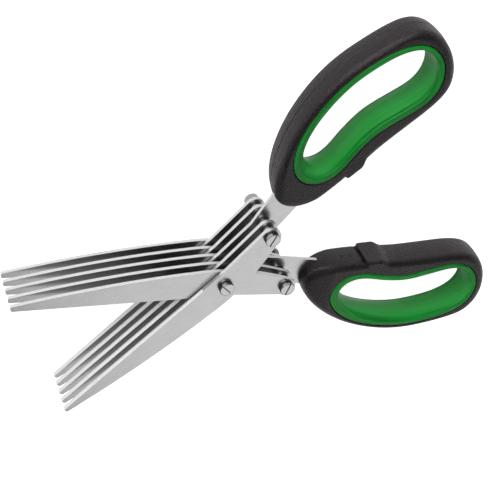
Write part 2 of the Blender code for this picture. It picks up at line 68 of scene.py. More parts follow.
# Handle outline, as shares of its length and depth, from the nose along the inner side and back
HANDLE_OUTLINE_SHARES = (
    (0.000, 0.225), (0.025, 0.100), (0.095, 0.020), (0.180, 0.000), (0.275, 0.000),
    (0.375, 0.010), (0.465, 0.030), (0.585, 0.035), (0.715, 0.030), (0.820, 0.040),
    (0.905, 0.100), (0.968, 0.255), (1.000, 0.470), (0.996, 0.665), (0.950, 0.835),
    (0.860, 0.925), (0.730, 0.978), (0.610, 1.000), (0.480, 0.975), (0.360, 0.905),
    (0.240, 0.790), (0.135, 0.640), (0.057, 0.485), (0.014, 0.335),
)

# Finger hole outline, as shares of its length and depth, from its front end in the same order
HOLE_OUTLINE_SHARES = (
    (0.000, 0.330), (0.030, 0.130), (0.095, 0.025), (0.195, 0.000), (0.300, 0.050),
    (0.390, 0.090), (0.480, 0.105), (0.585, 0.075), (0.690, 0.030), (0.795, 0.010),
    (0.887, 0.070), (0.962, 0.220), (1.000, 0.465), (0.970, 0.705), (0.872, 0.875),
    (0.720, 0.968), (0.555, 1.000), (0.375, 0.950), (0.195, 0.815), (0.060, 0.600),
)


# Meshes

SHARP_ANGLE = math.radians(35)
MERGE_DISTANCE = 0.0005 * MM
CORNER_STEPS = 5
TURN_STEPS = 96


def finished_piece(name, points, faces, body, node, material, lay=None):
    """A closed piece from points and faces, with doubles merged and faces turned outwards.

    Lay, where given, is kept on the points as the attribute that a pattern follows.
    """
    mesh = bpy.data.meshes.new(name)
    mesh.from_pydata(points, [], faces)
    if lay is not None:
        mesh.attributes.new("lay", "FLOAT_VECTOR", "POINT").data.foreach_set("vector", lay.ravel())
    shape = bmesh.new()
    shape.from_mesh(mesh)
    bmesh.ops.remove_doubles(shape, verts=shape.verts, dist=MERGE_DISTANCE)
    bmesh.ops.recalc_face_normals(shape, faces=shape.faces)
    shape.to_mesh(mesh)
    shape.free()
    mesh.shade_smooth()
    mesh.set_sharp_from_angle(angle=SHARP_ANGLE)
    mesh.materials.append(material)
    piece = bpy.data.objects.new(name, mesh)
    bpy.context.scene.collection.objects.link(piece)
    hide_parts(node)
    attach(piece, body)
    return piece


def grid_faces(rows, columns, closed_columns=True):
    """Quads over a grid of points whose last row joins its first, and whose columns do so too if asked."""
    index = np.arange(rows * columns).reshape(rows, columns)
    after = np.roll(index, -1, 0)
    quads = np.stack([index, after, np.roll(after, -1, 1), np.roll(index, -1, 1)], -1)
    if not closed_columns:
        quads = quads[:, :-1]
    return quads.reshape(-1, 4).tolist()


def rounded_corners(corners, radius, closed):
    """Each corner becomes a quadratic curve that leaves and meets its two sides at the given distance.

    The curve weighs its start by (1 - t) squared, the corner by 2t(1 - t) and its end by t squared. The ends
    of an open line stay where they are.
    """
    corners = np.asarray(corners, float)
    before = np.roll(corners, 1, 0) - corners
    after = np.roll(corners, -1, 0) - corners
    before = before / np.linalg.norm(before, axis=1, keepdims=True)
    after = after / np.linalg.norm(after, axis=1, keepdims=True)
    reach = np.full((len(corners), 1), radius)
    if not closed:
        reach[[0, -1]] = 0
    t = np.linspace(0, 1, CORNER_STEPS)[None, :, None]
    start = (corners + before * reach)[:, None]
    end = (corners + after * reach)[:, None]
    curve = (1 - t) ** 2 * start + 2 * t * (1 - t) * corners[:, None] + t ** 2 * end
    return curve.reshape(-1, 2)


def loop_lay(points):
    """A place for each point on a drum: round it along the loop, and up it along the section.

    The drum's girth is the length of the loop's first line, so patterns keep their size and have no seam.
    """
    loop = points[:, 0]
    girth = np.linalg.norm(np.roll(loop, -1, 0) - loop, axis=1)
    turn = 2 * math.pi * (np.cumsum(girth) - girth) / girth.sum()
    radius = girth.sum() / (2 * math.pi)
    up = np.linalg.norm(np.diff(points, axis=1, prepend=points[:, :1]), axis=2).cumsum(1)
    across = radius * np.cos(turn)[:, None] + 0 * up
    back = radius * np.sin(turn)[:, None] + 0 * up
    return np.stack([across, back, up], -1)


def turned_points(profile, centre):
    """A profile of radius and level, swept round an upright axis through the centre."""
    angle = np.linspace(0, 2 * math.pi, TURN_STEPS, endpoint=False)[:, None]
    radius, level = profile[None, :, 0], profile[None, :, 1]
    x = centre[0] + radius * np.cos(angle)
    y = centre[1] + radius * np.sin(angle)
    return np.stack([x, y, level + 0 * angle], -1)


def to_half(points, half):
    """Points of a half's own drawing, brought into the frame.

    The back half is turned over about X. Each half is then turned about Z by half the opening.
    """
    x, y, z = np.moveaxis(points, -1, 0)
    over = 1 if half == "front" else -1
    turn = over * HALF_TURN
    along = math.cos(turn) * x - math.sin(turn) * over * y
    across = math.sin(turn) * x + math.cos(turn) * over * y
    return np.stack([along, across, HANDLE_MIDDLE + over * z], -1)


# Outlines

def smooth_outline(shares, start, length, side, depth, stations):
    """A periodic cubic spline through the shares' points, with its outward unit normals.

    Each stretch is the straight blend of its two ends plus the cubic terms of their bends, and the bends
    solve the usual equations for equal slopes where stretches meet. Stations are shares of the way round.
    """
    corners = np.array(shares) * (length, depth) + (start, side)
    chord = np.linalg.norm(np.roll(corners, -1, 0) - corners, axis=1)
    count = len(corners)
    here = np.arange(count)
    system = np.zeros((count, count))
    system[here, here - 1] = np.roll(chord, 1)
    system[here, here] = 2 * (chord + np.roll(chord, 1))
    system[here, (here + 1) % count] = chord
    slope = (np.roll(corners, -1, 0) - corners) / chord[:, None]
    bend = np.linalg.solve(system, 6 * (slope - np.roll(slope, 1, 0)))
    knots = np.concatenate([[0], np.cumsum(chord)])
    at = (stations % 1) * knots[-1]
    a = np.clip(np.searchsorted(knots, at, side="right") - 1, 0, count - 1)
    b = (a + 1) % count
    span = chord[a][:, None]
    past = (at - knots[a])[:, None]
    left = span - past
    from_a = corners[a] / span - bend[a] * span / 6
    from_b = corners[b] / span - bend[b] * span / 6
    point = (bend[a] * left ** 3 + bend[b] * past ** 3) / (6 * span) + from_a * left + from_b * past
    along = (bend[b] * past ** 2 - bend[a] * left ** 2) / (2 * span) - from_a + from_b
    along = along / np.linalg.norm(along, axis=1, keepdims=True)
    return point, np.stack([along[:, 1], -along[:, 0]], -1)


def handle_outline(stations):
    """The handle's outline: the spline through its shares of the handle's length and depth."""
    return smooth_outline(HANDLE_OUTLINE_SHARES, HANDLE_START, HANDLE_LENGTH, HANDLE_SIDE, HANDLE_DEPTH,
                          stations)


def hole_outline(stations):
    """The finger hole's outline: the spline through its shares of the hole's length and depth."""
    return smooth_outline(HOLE_OUTLINE_SHARES, HOLE_START, HOLE_LENGTH, HOLE_SIDE, HOLE_DEPTH, stations)


def smooth_step(value, low, high):
    """0 below low, 1 above high, and the cubic 3t squared minus 2t cubed between them."""
    t = np.clip((value - low) / (high - low), 0, 1)
    return t * t * (3 - 2 * t)


# Handle shell

SHELL_EDGE = 2.4 * MM
SHELL_EDGE_REACH = 1.75 * MM
SHELL_CROWN = 0.8 * MM
PARTING_DEPTH = 0.20 * MM
PARTING_HALF_WIDTH = 0.22 * MM
HOLE_EDGE = 0.35 * MM
NOSE_TAPER_LENGTH = 12.0 * MM
NOSE_TAPER_DROP = 2.6 * MM
NOSE_EXTRA_EDGE = 1.0 * MM
FAR_EXTRA_EDGE = 1.2 * MM
INNER_EXTRA_EDGE = 0.8 * MM
PAD_LENGTH = 6.6 * MM
PAD_TOP = 0.45 * MM
PAD_EDGE = 1.3 * MM
PAD_FRONT = 0.6 * MM
PAD_CORNER = 1.6 * MM
PAD_BACK = 4.6 * MM
PAD_GROOVE = 1.15 * MM
PAD_GROOVE_DEPTH = 1.1 * MM
PITS = ((51.4 * MM, -0.9 * MM), (55.0 * MM, -1.0 * MM))
PIT_RADIUS = 0.45 * MM
PIT_DEPTH = 0.8 * MM
PIT_SIDE = 3 * MM

# Where the nose's wider rounding is whole and where it has faded out, and how the nose's taper grows
NOSE_WHOLE = 37 * MM
NOSE_FADED = 52 * MM
NOSE_TAPER_POWER = 1.2

# How far the side has to face a direction before its wider rounding starts there, and is whole
FACING_START = 0.3
FACING_WHOLE = 0.9

# The part of the inner side that carries the stop pad and the pits
PAD_FACING = -0.6
PAD_REACH = 6 * MM

# The groove, as shares of its width ahead of the pad and of the half thickness where it fades out
GROOVE_RISE_SHARES = (1.5, 0.8)
GROOVE_FADE_SHARES = (0.5, 0.95)

# Stations round the loop, and where they lie closer together
SHELL_STATIONS = 640
TRIAL_STATIONS = 2001
DETAIL_WEIGHT = 4.0
DETAIL_MIDDLE = 62 * MM
DETAIL_HALF_LENGTH = 14 * MM
DETAIL_SIDE = 10 * MM

# Levels up the side: in the parting line, over the pits and above them
PARTING_LEVELS_MM = (0, 0.05, 0.1, 0.16, 0.25)
PITTED_LEVELS = (0.35 * MM, 1.8 * MM)
PITTED_STEPS = 13
SIDE_STEPS = 9
ROUNDING_STEPS = 17
HOLE_EDGE_STEPS = 6
FACE_STEPS = 8
WALL_STEPS = 4


def shell_stations():
    """Stations round the loop, four times as close along the stop pad and pits as elsewhere."""
    even = np.linspace(0, 1, TRIAL_STATIONS)
    point, _ = handle_outline(even)
    detailed = (abs(point[:, 0] - DETAIL_MIDDLE) < DETAIL_HALF_LENGTH) & (point[:, 1] < DETAIL_SIDE)
    weight = np.where(detailed, DETAIL_WEIGHT, 1.0)
    way = np.concatenate([[0], np.cumsum(weight[1:])])
    return np.interp(np.linspace(0, way[-1], SHELL_STATIONS, endpoint=False), way, even)


def shell_side(nose, far, inner, outer):
    """Insets and heights up the outer side, from the parting line to the face.

    The side is crowned: its inset grows with the square of the height. A quarter of an ellipse then rounds it
    into the face, with a longer reach inwards at the nose, at the far end and on the inner side. On the
    loop's outer half a narrow V at height 0 is the parting line.
    """
    side_top = HALF_THICKNESS - SHELL_EDGE
    fine = np.array(PARTING_LEVELS_MM) * MM
    pitted = np.linspace(*PITTED_LEVELS, PITTED_STEPS)
    plain = np.linspace(PITTED_LEVELS[1], side_top, SIDE_STEPS)[1:]
    straight = np.concatenate([fine, pitted, plain])
    angle = np.linspace(0, math.pi / 2, ROUNDING_STEPS)[1:]
    height = np.concatenate([straight, side_top + SHELL_EDGE * np.sin(angle)])
    lean = SHELL_CROWN * (height / HALF_THICKNESS) ** 2
    parting = PARTING_DEPTH * np.clip(1 - height / PARTING_HALF_WIDTH, 0, 1)
    reach = SHELL_EDGE_REACH + NOSE_EXTRA_EDGE * nose + FAR_EXTRA_EDGE * far + INNER_EXTRA_EDGE * inner
    round_in = np.concatenate([np.zeros(len(straight)), 1 - np.cos(angle)])
    return lean + parting * outer[:, None] + reach[:, None] * round_in, height


def with_stop_pad(side, height, facing):
    """The stop pad stands out of the inner side over the bar's whole thickness, with a groove ahead of it.

    On the pad the side moves out to the pad's top, which is flat but for small quarter-circle edges. Past it
    the move fades out along a cubic step. In the groove the side moves inwards, less so near the faces.
    """
    past_corner = np.clip((height - HALF_THICKNESS) / PAD_CORNER + 1, 0, 1)
    x, y = side[..., 0] - PAD_START, side[..., 1]
    behind = x - PAD_CORNER * (1 - np.sqrt(1 - past_corner ** 2))
    past_edge = np.clip((height - HALF_THICKNESS) / PAD_EDGE + 1, 0, 1)
    front = np.clip(1 - behind / PAD_FRONT, 0, 1)
    top = PAD_TOP + PAD_EDGE * (2 - np.sqrt(1 - past_edge ** 2) - np.sqrt(1 - front ** 2))
    share = np.where(behind > 0, 1 - smooth_step(x, PAD_LENGTH, PAD_LENGTH + PAD_BACK), 0)
    rise_start, rise_end = (-share_of * PAD_GROOVE for share_of in GROOVE_RISE_SHARES)
    dip = smooth_step(x, rise_start, rise_end) * (behind <= 0)
    fade_start, fade_end = (share_of * HALF_THICKNESS for share_of in GROOVE_FADE_SHARES)
    groove = PAD_GROOVE_DEPTH * dip * (1 - smooth_step(height, fade_start, fade_end))
    moved = y + (top - y) * share + groove
    return np.stack([side[..., 0], np.where(facing[:, None], moved, y)], -1)


def with_pits(points, facing):
    """Two small round dips left by the mould's pins, each a bell curve of the distance from its middle."""
    x, y, z = np.moveaxis(points, -1, 0)
    near = facing[:, None] & (y < PIT_SIDE)
    for along, level in PITS:
        away = ((x - along) ** 2 + (z - level) ** 2) / PIT_RADIUS ** 2
        y = y + np.where(near, PIT_DEPTH * np.exp(-away), 0)
    return np.stack([x, y, z], -1)


def shell_points():
    """The moulded bar: outer side, face, hole's edge and hole's wall, then the same back underneath.

    The face is a straight blend from the end of the side's rounding to the hole's rounded edge. All heights
    shrink towards the nose by the taper. The bar has no slot for the tang, which runs into it unseen.
    """
    stations = shell_stations()
    outline, outward = handle_outline(stations)
    hole, into_shell = hole_outline(stations)
    nose = 1 - smooth_step(outline[:, 0], NOSE_WHOLE, NOSE_FADED)
    far = smooth_step(outward[:, 0], FACING_START, FACING_WHOLE)
    inner = smooth_step(-outward[:, 1], FACING_START, FACING_WHOLE)
    outer = smooth_step(outward[:, 1], 0, FACING_START)
    inset, side_height = shell_side(nose, far, inner, outer)
    facing = (outward[:, 1] < PAD_FACING) & (outline[:, 1] < PAD_REACH)
    side = with_stop_pad(outline[:, None] - outward[:, None] * inset[..., None], side_height, facing)
    angle = np.linspace(math.pi / 2, 0, HOLE_EDGE_STEPS)
    edge_in = HOLE_EDGE * (1 - np.cos(angle))
    edge = hole[:, None] + into_shell[:, None] * edge_in[None, :, None]
    share = np.linspace(0, 1, FACE_STEPS + 2)[1:-1][None, :, None]
    face = side[:, -1:] * (1 - share) + edge[:, :1] * share
    wall = np.repeat(hole[:, None], WALL_STEPS, 1)
    flat = np.concatenate([side, face, edge, wall], 1)
    edge_height = HALF_THICKNESS - HOLE_EDGE * (1 - np.sin(angle))
    wall_height = np.linspace(HALF_THICKNESS - HOLE_EDGE, 0, WALL_STEPS + 1)[1:]
    face_height = np.full(FACE_STEPS, HALF_THICKNESS)
    height = np.concatenate([side_height, face_height, edge_height, wall_height])
    lying = np.clip((HANDLE_START + NOSE_TAPER_LENGTH - flat[..., 0]) / NOSE_TAPER_LENGTH, 0, 1)
    taper = 1 - NOSE_TAPER_DROP / HALF_THICKNESS * lying ** NOSE_TAPER_POWER
    upper = np.concatenate([flat, (height[None] * taper)[..., None]], -1)
    lower = upper[:, -2:0:-1] * (1, 1, -1)
    return with_pits(np.concatenate([upper, lower], 1), facing)


def handle_shell(half, material):
    """One half's moulded shell: the bar's points, brought into the frame and closed both ways."""
    points = to_half(shell_points(), half)
    faces = grid_faces(*points.shape[:2])
    node = f"{half}_handle_shell"
    finished_piece(f"{half}_moulded_shell", points.reshape(-1, 3), faces, f"{half}_half", node,
                   material)


# Soft liner

LINER_HALF_HEIGHT = 6.88 * MM
LINER_GAP = 0.25 * MM
LINER_RIM_WALL = 2.9 * MM
LINER_RIM_SHIFT = 0.7 * MM
LINER_MIDDLE_WALL = 4.0 * MM
LINER_MIDDLE_SHIFT = 2.0 * MM
LINER_EDGE = 1.1 * MM
LINER_SHOULDER = 0.5 * MM
LINER_STATIONS = 360
LINER_EDGE_STEPS = 12
LINER_WALL_STEPS = 12
LINER_SHOULDER_STEPS = 6
LINER_FACE_SHARES = (0.3, 0.6, 0.85)


def liner_points():
    """The ring inside the finger hole.

    Its outer wall follows the hole at a small gap. At the rim and at half height its inner wall is the hole's
    outline offset inwards and moved towards the far end. Between the two it goes along a parabola, so that it
    flares out of the hole, most at the nose. The rim's edges are quarter circles.
    """
    stations = np.linspace(0, 1, LINER_STATIONS, endpoint=False)
    hole, into_shell = hole_outline(stations)
    outer = hole - into_shell * LINER_GAP
    inner = hole - into_shell * LINER_RIM_WALL + (LINER_RIM_SHIFT, 0)
    middle_loop = hole - into_shell * LINER_MIDDLE_WALL + (LINER_MIDDLE_SHIFT, 0)
    angle = np.linspace(math.pi / 2, 0, LINER_EDGE_STEPS)
    back_off = LINER_EDGE * (1 - np.cos(angle))
    edge = inner[:, None] + into_shell[:, None] * back_off[None, :, None]
    edge_height = LINER_HALF_HEIGHT - LINER_EDGE * (1 - np.sin(angle))
    wall_top = LINER_HALF_HEIGHT - LINER_EDGE
    level = np.linspace(wall_top, 0, LINER_WALL_STEPS)[1:]
    share = (1 - (level / wall_top) ** 2)[None, :, None]
    wall = inner[:, None] * (1 - share) + middle_loop[:, None] * share
    turn = np.linspace(0, math.pi / 2, LINER_SHOULDER_STEPS)
    shoulder = outer[:, None] - into_shell[:, None] * (LINER_SHOULDER * (1 - np.cos(turn)))[None, :, None]
    share = np.array(LINER_FACE_SHARES)[None, :, None]
    face = shoulder[:, -1:] * (1 - share) + edge[:, :1] * share
    flat = np.concatenate([outer[:, None], shoulder, face, edge, wall], 1)
    shoulder_height = LINER_HALF_HEIGHT - LINER_SHOULDER * (1 - np.sin(turn))
    face_height = np.full(len(LINER_FACE_SHARES), LINER_HALF_HEIGHT)
    height = np.concatenate([[0], shoulder_height, face_height, edge_height, level])
    upper = np.concatenate([flat, np.broadcast_to(height[None, :, None], (*flat.shape[:2], 1))], -1)
    return np.concatenate([upper, upper[:, -2:0:-1] * (1, 1, -1)], 1)


def handle_liner(half, material):
    """One half's soft liner: the ring's points, brought into the frame, with their lay for the streaks."""
    points = to_half(liner_points(), half)
    faces = grid_faces(*points.shape[:2])
    node = f"{half}_handle_liner"
    finished_piece(f"{half}_soft_liner", points.reshape(-1, 3), faces, f"{half}_half", node,
                   material, lay=loop_lay(points))


# Blades

BLADE_EDGE = 0.10 * MM
BLADE_EDGE_STEPS = 2
BLADE_EDGE_ANGLE = math.radians(24)
FLAT_ANGLE = math.radians(1)


def blade(half, number, material):
    """The CAD blade's own faces, merged, with its sharp edges broken by a small rounding."""
    node = f"{half}_blade_{number}"
    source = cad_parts[node].data
    points = np.zeros(len(source.vertices) * 3)
    source.vertices.foreach_get("co", points)
    faces = [tuple(face.vertices) for face in source.polygons]
    piece = finished_piece(f"{half}_steel_blade_{number}", points.reshape(-1, 3), faces, f"{half}_half",
                           node, material)
    shape = bmesh.new()
    shape.from_mesh(piece.data)
    bmesh.ops.dissolve_limit(shape, angle_limit=FLAT_ANGLE, verts=shape.verts, edges=shape.edges)
    shape.to_mesh(piece.data)
    shape.free()
    rounding = piece.modifiers.new("broken_edges", "BEVEL")
    rounding.width = BLADE_EDGE
    rounding.segments = BLADE_EDGE_STEPS
    rounding.limit_method = "ANGLE"
    rounding.angle_limit = BLADE_EDGE_ANGLE
    rounding.harden_normals = True


# Turned pieces

SCREW_HEAD_RADIUS = 2.9 * MM
SCREW_HEAD_HEIGHT = 1.7 * MM
SCREW_RIM = 0.3 * MM
SCREW_DOME = 0.06 * MM
SCREW_DOME_STEPS = 8
SCREW_CORNER = 0.14 * MM
SCREW_EASE = 0.07 * MM
SCREW_SHARP_ANGLE = math.radians(30)
SLOT_WIDTH = 0.6 * MM
SLOT_DEPTH = 0.7 * MM
BOLT_BORE = 1.65 * MM
SPACER_RADIUS = 2.6 * MM
PIVOT_BORE = 2.25 * MM
WASHER_RADIUS = 3.6 * MM
RING_EASE = 0.12 * MM
NUT_EASE = 0.15 * MM
NUT_BORE_DEPTH = 0.9 * MM
SCREWS = {
    # node: its body, the shaft's radius and the slot's turn on its own half, in degrees
    "pivot_screw": ("front_half", 2.0 * MM, 91),
    "front_cross_bolt": ("front_half", 1.4 * MM, 24),
    "back_cross_bolt": ("back_half", 1.4 * MM, 74),
}


def middle(node):
    """The middle of a CAD node's box."""
    low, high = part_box(node)
    return (low + high) / 2


def turned_piece(name, node, body, profile, closed, material):
    """A profile swept round the upright axis through the CAD node's middle."""
    points = turned_points(profile, middle(node))
    faces = grid_faces(*points.shape[:2], closed_columns=closed)
    return finished_piece(name, points.reshape(-1, 3), faces, body, node, material)


def ring(node, body, inner, outer, material):
    """A tube or washer: its box-shaped section with eased corners, swept round its axis."""
    low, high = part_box(node)
    section = [(inner, low.z), (outer, low.z), (outer, high.z), (inner, high.z)]
    profile = rounded_corners(section, RING_EASE, True)
    turned_piece(f"{node}_ring", node, body, profile, True, material)


def cap_nut(node, body, bore, material):
    """A round nut with a flat back, eased edges and a blind bore from its upper side."""
    low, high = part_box(node)
    floor = high.z - NUT_BORE_DEPTH
    corners = [(0, low.z), (SCREW_HEAD_RADIUS, low.z), (SCREW_HEAD_RADIUS, high.z), (bore, high.z),
               (bore, floor), (0, floor)]
    profile = rounded_corners(corners, NUT_EASE, False)
    turned_piece(f"{node}_cap", node, body, profile, False, material)


def slot_cutter(centre, top, turn):
    """A plain bar across the screw's head, used only to cut its slot.

    It starts as a cube that reaches 1 to each side, scaled by the bar's half length, half width and depth.
    """
    size = (2 * SCREW_HEAD_RADIUS, SLOT_WIDTH / 2, SLOT_DEPTH, 1)
    cutter = bmesh.new()
    bmesh.ops.create_cube(cutter, size=2)
    place = Matrix.Translation((centre.x, centre.y, top)) @ Matrix.Rotation(turn, 4, "Z")
    bmesh.ops.transform(cutter, matrix=place @ Matrix.Diagonal(size), verts=cutter.verts)
    mesh = bpy.data.meshes.new("slot_cutter")
    cutter.to_mesh(mesh)
    cutter.free()
    thing = bpy.data.objects.new("slot_cutter", mesh)
    bpy.context.scene.collection.objects.link(thing)
    return thing


def slotted_screw(node, material):
    """A cheese-head screw: its shaft and domed head swept round the axis, then a slot cut across the head.

    The dome sinks with the square of the distance from the axis.
    """
    body, shaft, turn = SCREWS[node]
    low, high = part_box(node)
    seat = high.z - SCREW_HEAD_HEIGHT
    dome = np.linspace(0, 1, SCREW_DOME_STEPS)
    dome_points = np.stack([(SCREW_HEAD_RADIUS - SCREW_RIM) * dome, high.z - SCREW_DOME * dome ** 2], -1)
    corners = [(SCREW_HEAD_RADIUS, high.z - SCREW_CORNER), (SCREW_HEAD_RADIUS, seat), (shaft, seat),
               (shaft, low.z), (0, low.z)]
    rim = rounded_corners([tuple(dome_points[-1]), *corners], SCREW_EASE, False)
    profile = np.concatenate([dome_points[:-1], rim])
    piece = turned_piece(f"{node}_slotted", node, body, profile, False, material)
    own_turn = -HALF_TURN if node.startswith("back") else HALF_TURN
    cutter = slot_cutter(middle(node), high.z, math.radians(turn) + own_turn)
    cut = piece.modifiers.new("slot", "BOOLEAN")
    cut.object = cutter
    cut.solver = "EXACT"
    bpy.context.view_layer.update()
    slotted = bpy.data.meshes.new_from_object(piece.evaluated_get(bpy.context.evaluated_depsgraph_get()))
    slotted.shade_smooth()
    slotted.set_sharp_from_angle(angle=SCREW_SHARP_ANGLE)
    piece.modifiers.clear()
    piece.data = slotted
    bpy.data.objects.remove(cutter, do_unlink=True)


# Materials

# A Mix node's sockets by number, since its colours and its plain values share their names
COLOUR_A, COLOUR_B, COLOUR_OUT = 6, 7, 2
VALUE_A, VALUE_B, VALUE_OUT = 2, 3, 0

STEEL_STREAK_MM = 0.35
STEEL_STREAK_SQUEEZE = 0.04
STEEL_CLOUD_MM = 6
STEEL_EDGE_ROUGHNESS = 0.5
STEEL_FACING = (0.6, 0.95)
TURNED_WEAR_MM = 0.8
NYLON_GRAIN_MM = 0.7
NYLON_PATCH_MM = 7
FLOW_STREAK_MM = 1.2
FLOW_STREAK_SQUEEZE = 0.05

# Ways along the liner's section from the middle of its outer wall: where the band of painted light starts, is
# whole, begins to fade and ends
PAINTED_LIGHT_BAND = (9.6 * MM, 11.6 * MM, 20.6 * MM, 22.6 * MM)
PAINTED_LIGHT_BAND_SHARE = 0.7


def linear(hex_colour):
    """An sRGB hex colour as linear light, with full alpha."""
    parts = [int(hex_colour[i:i + 2], 16) / 255 for i in (1, 3, 5)]
    return (*[p / 12.92 if p <= 0.04045 else ((p + 0.055) / 1.055) ** 2.4 for p in parts], 1.0)


def add_node(tree, kind, links=(), **settings):
    """Adds a node, sets its properties and inputs by name, and links (source socket, input name) pairs."""
    node = tree.nodes.new(kind)
    for name, value in settings.items():
        if name in node.bl_rna.properties:
            setattr(node, name, value)
        else:
            node.inputs[name.replace("_", " ")].default_value = value
    for source, target in links:
        tree.links.new(source, node.inputs[target])
    return node


def new_material(name, **settings):
    """A material with its Principled BSDF, whose plain values are set on its own sockets."""
    material = bpy.data.materials.new(name)
    material.use_nodes = True
    shader = material.node_tree.nodes["Principled BSDF"]
    for socket, value in settings.items():
        shader.inputs[socket.replace("_", " ")].default_value = value
    return material, material.node_tree, shader


def mixed_colour(tree, factor, first, second):
    """A blend of two colours by a factor. Each colour is a socket or an sRGB hex value."""
    mix = add_node(tree, "ShaderNodeMix", [(factor, "Factor")], data_type="RGBA")
    for colour, place in ((first, COLOUR_A), (second, COLOUR_B)):
        if isinstance(colour, str):
            mix.inputs[place].default_value = linear(colour)
        else:
            tree.links.new(colour, mix.inputs[place])
    return mix.outputs[COLOUR_OUT]


def dress(tree, shader, colour, roughness, bump):
    """Links the shader's colour, roughness and normal."""
    tree.links.new(colour, shader.inputs["Base Color"])
    tree.links.new(roughness, shader.inputs["Roughness"])
    tree.links.new(bump.outputs["Normal"], shader.inputs["Normal"])


def texture_scale(size_mm):
    """The scale at which a texture's features come out at the given size in millimetres."""
    return 1 / MM / size_mm


def ground_stainless(name, turn):
    """Stainless strip, surface-ground along its length: satin, with fine streaks, faint clouding and a
    painted highlight on its edges.
    """
    material, tree, shader = new_material(name, Metallic=1.0)
    place = add_node(tree, "ShaderNodeTexCoord")
    along = add_node(tree, "ShaderNodeMapping", [(place.outputs["Object"], "Vector")],
                     Rotation=(0, 0, -turn), Scale=(STEEL_STREAK_SQUEEZE, 1, 1))
    # Grinding lines are about 0.1 mm wide, and drawn wider so that they show
    streaks = add_node(tree, "ShaderNodeTexNoise", [(along.outputs["Vector"], "Vector")],
                       Scale=texture_scale(STEEL_STREAK_MM), Detail=4.0, Roughness=0.6)
    clouds = add_node(tree, "ShaderNodeTexNoise", [(place.outputs["Object"], "Vector")],
                      Scale=texture_scale(STEEL_CLOUD_MM), Detail=3.0)
    tone = mixed_colour(tree, clouds.outputs["Fac"], "#a6a6a6", "#b0b0b0")
    # The blanked edges are duller than the ground faces, which look straight up or down. The edges' paler
    # colour is a painted highlight, standing in for the bright table that they reflect
    facing = add_node(tree, "ShaderNodeSeparateXYZ", [(place.outputs["Normal"], "Vector")])
    upright = add_node(tree, "ShaderNodeMath", [(facing.outputs["Z"], 0)], operation="ABSOLUTE")
    ground = add_node(tree, "ShaderNodeMapRange", [(upright.outputs["Value"], "Value")],
                      From_Min=STEEL_FACING[0], From_Max=STEEL_FACING[1])
    tone_and_painted_edge_highlight = mixed_colour(tree, ground.outputs["Result"], "#d8d8d8", tone)
    satin = add_node(tree, "ShaderNodeMapRange", [(streaks.outputs["Fac"], "Value")],
                     To_Min=0.2, To_Max=0.38)
    roughness = add_node(tree, "ShaderNodeMix", [(ground.outputs["Result"], "Factor"),
                                                 (satin.outputs["Result"], VALUE_B)], data_type="FLOAT")
    roughness.inputs[VALUE_A].default_value = STEEL_EDGE_ROUGHNESS
    bump = add_node(tree, "ShaderNodeBump", [(streaks.outputs["Fac"], "Height")],
                    Strength=0.3, Distance=0.03 * MM)
    dress(tree, shader, tone_and_painted_edge_highlight, roughness.outputs[VALUE_OUT], bump)
    return material


def turned_stainless():
    """Turned stainless bar: smoother than the blades, so it mirrors more sharply, with an uneven polish."""
    material, tree, shader = new_material("turned_stainless", Metallic=1.0, Base_Color=linear("#a2a2a2"))
    place = add_node(tree, "ShaderNodeTexCoord")
    wear = add_node(tree, "ShaderNodeTexNoise", [(place.outputs["Object"], "Vector")],
                    Scale=texture_scale(TURNED_WEAR_MM), Detail=3.0)
    roughness = add_node(tree, "ShaderNodeMapRange", [(wear.outputs["Fac"], "Value")],
                         To_Min=0.1, To_Max=0.2)
    tree.links.new(roughness.outputs["Result"], shader.inputs["Roughness"])
    return material


def grained_nylon():
    """Black moulded nylon with a spark-eroded grain: dull, with a soft grey sheen where light grazes it."""
    material, tree, shader = new_material("grained_nylon", IOR=1.53, Specular_IOR_Level=0.37,
                                          Specular_Tint=linear("#fff0f4"))
    place = add_node(tree, "ShaderNodeTexCoord")
    # The real grain is about 0.2 mm, and drawn coarser so that it shows
    grain = add_node(tree, "ShaderNodeTexNoise", [(place.outputs["Object"], "Vector")],
                     Scale=texture_scale(NYLON_GRAIN_MM), Detail=2.0, Roughness=0.5)
    peaks = add_node(tree, "ShaderNodeMapRange", [(grain.outputs["Fac"], "Value")],
                     From_Min=0.38, From_Max=0.66)
    patches = add_node(tree, "ShaderNodeTexNoise", [(place.outputs["Object"], "Vector")],
                       Scale=texture_scale(NYLON_PATCH_MM), Detail=3.0)
    mixed = add_node(tree, "ShaderNodeMath", [(patches.outputs["Fac"], 0), (peaks.outputs["Result"], 1)],
                     operation="ADD")
    roughness = add_node(tree, "ShaderNodeMapRange", [(mixed.outputs["Value"], "Value")],
                         From_Min=0.2, From_Max=1.6, To_Min=0.5, To_Max=0.3)
    # The grain's peaks are painted lighter than its hollows: a painted highlight for the light that the peaks
    # catch
    tone = mixed_colour(tree, peaks.outputs["Result"], "#060405", "#151213")
    bump = add_node(tree, "ShaderNodeBump", [(peaks.outputs["Result"], "Height")],
                    Strength=1.0, Distance=0.09 * MM)
    dress(tree, shader, tone, roughness.outputs["Result"], bump)
    return material


